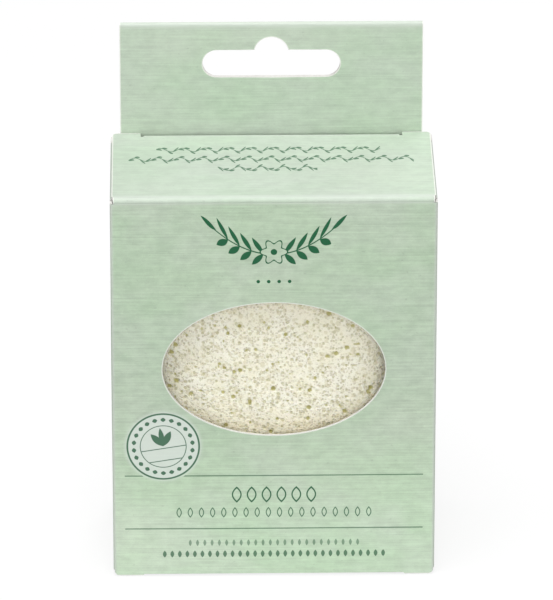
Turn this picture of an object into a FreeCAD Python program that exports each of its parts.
"""Loose facial sponge in a windowed tuck-end carton with a folded-over hang tab.

Frame: millimetres, +Z up, the front faces -Y, and the origin is the middle of the foot.
The carton is one blank of board. Each panel and flap is its own solid, divided at the creases.
"""
import FreeCAD, Part
import math
import os
from FreeCAD import Vector

# Carton, outside, with both ends shut.
carton_width = 75.0
carton_depth = 40.0
carton_height = 96.0

# Board, its folds and its glue.
board = 0.5
fold_inner_radius = 0.4
crease_clearance = 0.05
crease_land = 0.1
crease_end_gap = 0.2
crease_lap_angle = 25.0
mitre_angle = 45.0
glue_film = 0.2
glue_margin = 3.0
cut_overrun = 2.0

# Oval window and the foot of the front panel.
window_width = 51.5
window_height = 33.6
window_center_height = 53.0
foot_corner_radius = 1.7
foot_relief = 0.35

# Hang tab, its folded front ply and its slot.
tab_height = 27.5
tab_inset = 2.25
ply_tuck_depth = 8.0
slot_width = 32.0
slot_height = 6.8
hook_radius = 4.0
hook_rise = 3.2
hook_edge_distance = 3.6

# Glued seam at the back right corner.
seam_flap_width = 12.0
seam_flap_taper = 4.0
seam_end_room = 4.5
seam_setback = 0.15

# Lid with its locking ears.
lid_relief = 0.4
ear_width = 7.0
ear_gap = 0.25
ear_step = 0.8
ear_corner_radius = 1.2
ear_inner_radius = 0.3
slit_gap = 0.2

# Tuck flap, set inwards so that it slides in.
tuck_length = 12.5
tuck_set_angle = 16.0
tuck_side_room = 2.0
tuck_taper = 1.5
tuck_corner_radius = 7.0
slit_drop = 0.5

# Dust flaps.
dust_tip_gap = 17.0
dust_lid_gap = 0.3
dust_front_gap = 0.3
dust_rear_room = 0.9
dust_front_taper_share = 0.3
dust_shoulder = 11.0
dust_rear_taper = 5.0
dust_corner_radius = 3.0

# Sponge: the room left around it in the carton.
sponge_side_room = 4.0
sponge_front_room = 2.4
sponge_back_room = 5.9
sponge_head_room = 5.0
sponge_seat_gap = 0.3
sponge_rim_share = 0.7
sponge_front_round_share = 0.67
sponge_back_round_share = 0.8
sponge_steps = 8

# Worked out from the sizes above.
half_width = carton_width / 2
half_depth = carton_depth / 2
fold_radius = fold_inner_radius + board
seat_radius = fold_radius + crease_clearance
crease_lip = math.sqrt(seat_radius ** 2 - fold_radius ** 2) + crease_land
corner_x = half_width - fold_radius
corner_y = half_depth - fold_radius
lid_axis_y = -corner_y
lid_axis_z = carton_height - fold_radius
wall_top = lid_axis_z - crease_lip
wall_foot = carton_height - wall_top
dust_axis_z = carton_height - board - dust_lid_gap - fold_radius
dust_length = corner_x - dust_tip_gap / 2
dust_front = lid_axis_y + fold_radius + dust_front_gap
tab_top = carton_height + tab_height
tab_fold_radius = board + glue_film / 2
tab_fold_z = tab_top - tab_fold_radius
tab_fold_y = half_depth - tab_fold_radius
tab_half = half_width - tab_inset
ply_foot = carton_height - ply_tuck_depth
ply_face = tab_fold_y - tab_fold_radius
slot_center_z = tab_top - hook_edge_distance - hook_rise - slot_height / 2
seam_x = half_width - board - glue_film
top_stop = ply_face
bottom_stop = half_depth - board


def outline(corners):
    """Closed wire through corners given as x, y and radius, each corner rounded by its radius."""
    edges = []
    ends = []
    for i, (x, y, radius) in enumerate(corners):
        corner = Vector(x, y, 0)
        before = Vector(*corners[i - 1][:2], 0) - corner
        after = Vector(*corners[(i + 1) % len(corners)][:2], 0) - corner
        half = before.getAngle(after) / 2
        before.normalize()
        after.normalize()
        run = radius / math.tan(half)
        first = corner + before * run
        last = corner + after * run
        if radius > 0:
            inward = (before + after).normalize()
            middle = corner + inward * (radius / math.sin(half) - radius)
            edges.append(Part.Arc(first, middle, last).toShape())
        ends.append((first, last))
    for i, (first, last) in enumerate(ends):
        edges.append(Part.makeLine(ends[i - 1][1], first))
    return Part.Wire(Part.__sortEdges__(edges))


def mirrored(corners):
    """Corners of the right half followed by their mirror images, as one closed outline."""
    return corners + [(-x, y, radius) for x, y, radius in reversed(corners)]


def ring_face(center, inner, outer, start, stop, along, across):
    """Flat sector of a ring about a centre, between two angles counted from along to across."""
    def at(radius, angle):
        turn = math.radians(angle)
        return center + along * (radius * math.cos(turn)) + across * (radius * math.sin(turn))

    middle = (start + stop) / 2
    edges = [
        Part.Arc(at(outer, start), at(outer, middle), at(outer, stop)).toShape(),
        Part.makeLine(at(outer, stop), at(inner, stop)),
        Part.Arc(at(inner, stop), at(inner, middle), at(inner, start)).toShape(),
        Part.makeLine(at(inner, start), at(outer, start)),
    ]
    return Part.Face(Part.Wire(edges))


def flap(wire, start, stop, turn):
    """Flap from a crease along X, outer face up, with the rolled fold that turns on that crease."""
    plate = Part.Face(wire).extrude(Vector(0, 0, board))
    plate.translate(Vector(0, 0, fold_inner_radius))
    quarter = 90.0
    roll = ring_face(
        Vector(start, 0, 0), fold_inner_radius, fold_radius,
        quarter, quarter + turn + crease_lap_angle, Vector(0, 1, 0), Vector(0, 0, 1),
    ).extrude(Vector(stop - start, 0, 0))
    return plate.fuse(roll).removeSplitter()


def seat(start, stop, axis_y, axis_z):
    """Round channel along X in which a rolled fold turns."""
    return Part.makeCylinder(seat_radius, stop - start, Vector(start, axis_y, axis_z), Vector(1, 0, 0))


def tuck_axis(stop):
    """Distance from the lid's crease to its tuck crease, for a lid whose ears end at a wall."""
    return stop - ear_gap - ear_step - fold_radius - lid_axis_y


def make_lid(stop):
    """Lid hinged at the front, with two locking ears behind and a seat for the tuck flap."""
    crease = tuck_axis(stop)
    reach = crease + fold_radius + ear_step
    hinge_half = corner_x - crease_end_gap
    lid_half = half_width - lid_relief
    ear_x = half_width - ear_width
    corners = [
        (hinge_half, 0, 0),
        (lid_half, lid_half - hinge_half, 0),
        (lid_half, reach, ear_corner_radius),
        (ear_x, reach, ear_inner_radius),
        (ear_x, crease - crease_lip, 0),
    ]
    lid = flap(outline(mirrored(corners)), -hinge_half, hinge_half, 90.0)
    lid = lid.cut(seat(-ear_x, ear_x, crease, 0))
    lid.translate(Vector(0, lid_axis_y, lid_axis_z))
    return lid


def make_tuck(stop):
    """Tuck flap with shoulders under the ears and round lower corners, hanging inside its wall."""
    crease_half = half_width - ear_width - slit_gap
    tuck_half = half_width - tuck_side_room
    corners = [
        (crease_half, 0, 0),
        (crease_half, slit_drop, 0),
        (tuck_half, slit_drop, ear_inner_radius),
        (tuck_half - tuck_taper, tuck_length, tuck_corner_radius),
    ]
    tuck = flap(outline(mirrored(corners)), -crease_half, crease_half, 90.0 + tuck_set_angle)
    tuck.rotate(Vector(), Vector(1, 0, 0), -90.0 - tuck_set_angle)
    tuck.translate(Vector(0, lid_axis_y + tuck_axis(stop), lid_axis_z))
    return tuck


def dust_rear(stop):
    """Y of the dust flaps' edge beside the tuck flap."""
    return lid_axis_y + tuck_axis(stop) - dust_rear_room


def make_dust(stop):
    """Right dust flap under the lid, tapered on both sides."""
    rear = dust_rear(stop)
    corners = [
        (dust_front, 0, 0),
        (rear, 0, 0),
        (rear, dust_shoulder, dust_corner_radius),
        (rear - dust_rear_taper, dust_length, dust_corner_radius),
        (dust_front + dust_front_taper_share * dust_length, dust_length, dust_corner_radius),
    ]
    dust = flap(outline(corners), dust_front, rear, 90.0)
    dust.rotate(Vector(), Vector(0, 0, 1), 90.0)
    dust.translate(Vector(corner_x, 0, dust_axis_z))
    return dust


def dust_notch(stop):
    """Cut in the right side panel that seats a dust flap's fold."""
    start = dust_front - crease_end_gap
    end = dust_rear(stop) + crease_end_gap
    notch = Part.makeBox(
        end - start, 2 * fold_radius, wall_top - dust_axis_z + crease_lip + cut_overrun,
        Vector(start, -fold_radius, -crease_lip),
    )
    notch = notch.fuse(seat(start, end, 0, 0))
    notch.rotate(Vector(), Vector(0, 0, 1), 90.0)
    notch.translate(Vector(corner_x, 0, dust_axis_z))
    return notch


def turned_over(shape):
    """Copy of a top-end shape turned over to the bottom end, about the carton's middle."""
    copy = shape.copy()
    copy.rotate(Vector(0, 0, carton_height / 2), Vector(1, 0, 0), 180.0)
    return copy


def flipped(shape):
    """Mirror image from the right side to the left."""
    return shape.mirror(Vector(), Vector(1, 0, 0))


def wall(length, start_turn, end_turn, foot, top, corner, heading):
    """Upright panel: a flat run along X whose ends turn inwards as half folds, set down at a corner."""
    inward = Vector(0, 1, 0)
    side = Vector(1, 0, 0)
    strip = Part.makeBox(length, board, top - foot)
    for place, turn, away in ((0, start_turn, -1), (length, end_turn, 1)):
        if turn > 0:
            center = Vector(place, fold_radius, 0)
            bend = ring_face(center, fold_inner_radius, fold_radius, 0, turn, inward * -1, side * away)
            strip = strip.fuse(bend.extrude(Vector(0, 0, top - foot)))
    strip = strip.removeSplitter()
    strip.translate(Vector(0, 0, foot))
    strip.rotate(Vector(), Vector(0, 0, 1), heading)
    strip.translate(corner)
    return strip


def make_front():
    """Front panel with the oval window, a raw foot with rounded corners, and the lid's seat."""
    start = Vector(-corner_x, -half_depth, 0)
    panel = wall(2 * corner_x, mitre_angle, mitre_angle, 0, wall_top, start, 0)
    panel = panel.cut(seat(-carton_width, carton_width, lid_axis_y, lid_axis_z))
    major = max(window_width, window_height) / 2
    minor = min(window_width, window_height) / 2
    oval = Part.Face(Part.Wire(Part.Ellipse(Vector(), major, minor).toShape()))
    window = oval.extrude(Vector(0, 0, board + 2 * cut_overrun))
    if window_height > window_width:
        window.rotate(Vector(), Vector(0, 0, 1), 90.0)
    window.rotate(Vector(), Vector(1, 0, 0), -90.0)
    window.translate(Vector(0, -half_depth - cut_overrun, window_center_height))
    relief = Part.makeBox(
        carton_width - 2 * ear_width, fold_radius + 2 * cut_overrun, foot_relief + cut_overrun,
        Vector(ear_width - half_width, -half_depth - cut_overrun, -cut_overrun),
    )
    side = foot_corner_radius + cut_overrun
    deep = fold_radius + 2 * cut_overrun
    block = Part.makeBox(
        side, deep, side, Vector(half_width - foot_corner_radius, -half_depth - cut_overrun, -cut_overrun)
    )
    round_center = Vector(
        half_width - foot_corner_radius, -half_depth - cut_overrun, foot_corner_radius
    )
    corner = block.cut(Part.makeCylinder(foot_corner_radius, deep, round_center, Vector(0, 1, 0)))
    return panel.cut(window).cut(relief).cut(corner).cut(flipped(corner))


def make_slot():
    """Cutter for the hang slot: a bar with round ends and a round hook seat above its middle."""
    end = slot_height / 2
    bar = slot_width - slot_height
    deep = carton_depth
    back = Vector(0, 1, 0)
    slot = Part.makeBox(bar, deep, slot_height, Vector(-bar / 2, 0, slot_center_z - end))
    for x in (-bar / 2, bar / 2):
        slot = slot.fuse(Part.makeCylinder(end, deep, Vector(x, 0, slot_center_z), back))
    hook_z = slot_center_z + end + hook_rise - hook_radius
    return slot.fuse(Part.makeCylinder(hook_radius, deep, Vector(0, 0, hook_z), back))


def make_back():
    """Back panel, which runs on upwards as the rear ply of the hang tab."""
    right_x = seam_x - fold_radius
    start = Vector(right_x, half_depth, 0)
    panel = wall(right_x + corner_x, mitre_angle, mitre_angle, wall_foot, wall_top, start, 180.0)
    panel = panel.cut(turned_over(seat(-carton_width, carton_width, lid_axis_y, lid_axis_z)))
    tab = Part.makeBox(
        2 * tab_half, board, tab_fold_z - carton_height / 2,
        Vector(-tab_half, half_depth - board, carton_height / 2),
    )
    return panel.fuse(tab).removeSplitter().cut(make_slot())


def make_front_ply():
    """Front ply of the tab, folded over the top and down inside the carton behind the tuck flap."""
    leg = Part.makeBox(2 * tab_half, board, tab_fold_z - ply_foot, Vector(-tab_half, ply_face, ply_foot))
    half_turn = 180.0
    fold = ring_face(
        Vector(-tab_half, tab_fold_y, tab_fold_z), tab_fold_radius - board, tab_fold_radius,
        0, half_turn, Vector(0, 1, 0), Vector(0, 0, 1),
    ).extrude(Vector(2 * tab_half, 0, 0))
    return leg.fuse(fold).removeSplitter().cut(make_slot())


def make_tab_glue():
    """Glue film between the two plies, kept clear of the slot and the edges."""
    foot = ply_foot + glue_margin
    top = tab_fold_z - glue_margin
    half = tab_half - glue_margin
    film = Part.makeBox(2 * half, glue_film, top - foot, Vector(-half, ply_face + board, foot))
    keep_out_x = slot_width / 2 + glue_margin
    keep_out_z = slot_center_z - slot_height / 2 - glue_margin
    corner = Vector(-keep_out_x, ply_face + board / 2, keep_out_z)
    keep_out = Part.makeBox(2 * keep_out_x, board + glue_film, tab_top - keep_out_z, corner)
    return film.cut(keep_out)


def make_side(last_y, end_turn):
    """Right side panel from the front corner back to a given end, with both dust flap seats."""
    start = Vector(half_width, -corner_y, 0)
    panel = wall(last_y + corner_y, mitre_angle, end_turn, wall_foot, wall_top, start, 90.0)
    panel = panel.cut(dust_notch(top_stop))
    return panel.cut(turned_over(dust_notch(bottom_stop)))


def make_seam_flap():
    """Glue flap folded from the back panel along the inside of the right side panel."""
    foot = wall_foot + seam_end_room
    top = wall_top - seam_end_room
    first_y = corner_y - seam_flap_width
    flap_wall = wall(seam_flap_width, 0, mitre_angle, foot, top, Vector(seam_x, first_y, 0), 90.0)
    bevel = Part.Face(Part.makePolygon([
        Vector(0, first_y, foot),
        Vector(0, first_y, foot + seam_flap_taper),
        Vector(0, corner_y, foot),
        Vector(0, first_y, foot),
    ])).extrude(Vector(carton_width, 0, 0))
    upper = bevel.mirror(Vector(0, 0, (foot + top) / 2), Vector(0, 0, 1))
    return flap_wall.cut(bevel).cut(upper)


def make_seam_glue():
    """Glue film between the seam flap and the right side panel."""
    foot = wall_foot + seam_end_room + seam_flap_taper
    top = wall_top - seam_end_room - seam_flap_taper
    first_y = corner_y - seam_flap_width + glue_margin
    return Part.makeBox(
        glue_film, seam_flap_width - 2 * glue_margin, top - foot, Vector(seam_x, first_y, foot)
    )


def crown(facing, half_x, height, round_share):
    """Points from the rim to the tip of a crown in short steps; a smaller share makes its face flatter."""
    turns = [math.radians(90 * step / sponge_steps) for step in range(sponge_steps)]
    bulge = [(math.cos(turn) ** round_share, math.sin(turn) ** round_share) for turn in turns] + [(0, 1)]
    return [Vector(half_x * along, facing * height * out, 0) for along, out in bulge]


def make_sponge():
    """Loose oblong sponge, fuller at the front: one section, drawn straight and shrunk round at both ends."""
    front_y = -half_depth + board + sponge_front_room
    back_y = half_depth - board - sponge_back_room
    rim_y = front_y + sponge_rim_share * (back_y - front_y)
    flap_under = dust_axis_z + fold_inner_radius
    top = flap_under - sponge_head_room
    half_x = half_width - board - sponge_side_room
    dip = half_x - math.sqrt(half_x ** 2 - (dust_tip_gap / 2) ** 2)
    foot = max(board, carton_height - flap_under - dip) + sponge_seat_gap
    turns = [math.radians(90 * (step + 1) / sponge_steps) for step in range(sponge_steps)]
    straight = (top - foot) / 2 - half_x * math.cos(turns[0])
    half = crown(1, half_x, back_y - rim_y, sponge_back_round_share)[:0:-1]
    half += crown(-1, half_x, rim_y - front_y, sponge_front_round_share)
    section = half + [Vector(-point.x, point.y, 0) for point in half[-2:0:-1]]
    rings = [(-straight - half_x * math.cos(turn), math.sin(turn)) for turn in turns]
    rings += [(-level, scale) for level, scale in rings[::-1]]
    wires = []
    for level, scale in rings:
        points = [point * scale + Vector(0, 0, level) for point in section]
        wires.append(Part.makePolygon(points + points[:1]))
    sponge = Part.makeLoft(wires, True, True)
    sponge.translate(Vector(0, rim_y, (foot + top) / 2))
    return sponge


parts = {
    "front_panel": make_front(),
    "back_panel": make_back(),
    "left_side_panel": flipped(make_side(corner_y, mitre_angle)),
    "right_side_panel": make_side(half_depth - seam_setback, 0),
    "seam_flap": make_seam_flap(),
    "seam_glue": make_seam_glue(),
    "hang_tab_front_ply": make_front_ply(),
    "hang_tab_glue": make_tab_glue(),
    "top_lid": make_lid(top_stop),
    "top_tuck_flap": make_tuck(top_stop),
    "top_dust_flap_right": make_dust(top_stop),
    "top_dust_flap_left": flipped(make_dust(top_stop)),
    "bottom_lid": turned_over(make_lid(bottom_stop)),
    "bottom_tuck_flap": turned_over(make_tuck(bottom_stop)),
    "bottom_dust_flap_right": turned_over(make_dust(bottom_stop)),
    "bottom_dust_flap_left": flipped(turned_over(make_dust(bottom_stop))),
    "konjac_sponge": make_sponge(),
}

os.makedirs("parts", exist_ok=True)
for name, shape in parts.items():
    shape.exportStep("parts/" + name + ".step")
    print(name, shape.isValid(), len(shape.Solids), round(shape.Volume, 3))
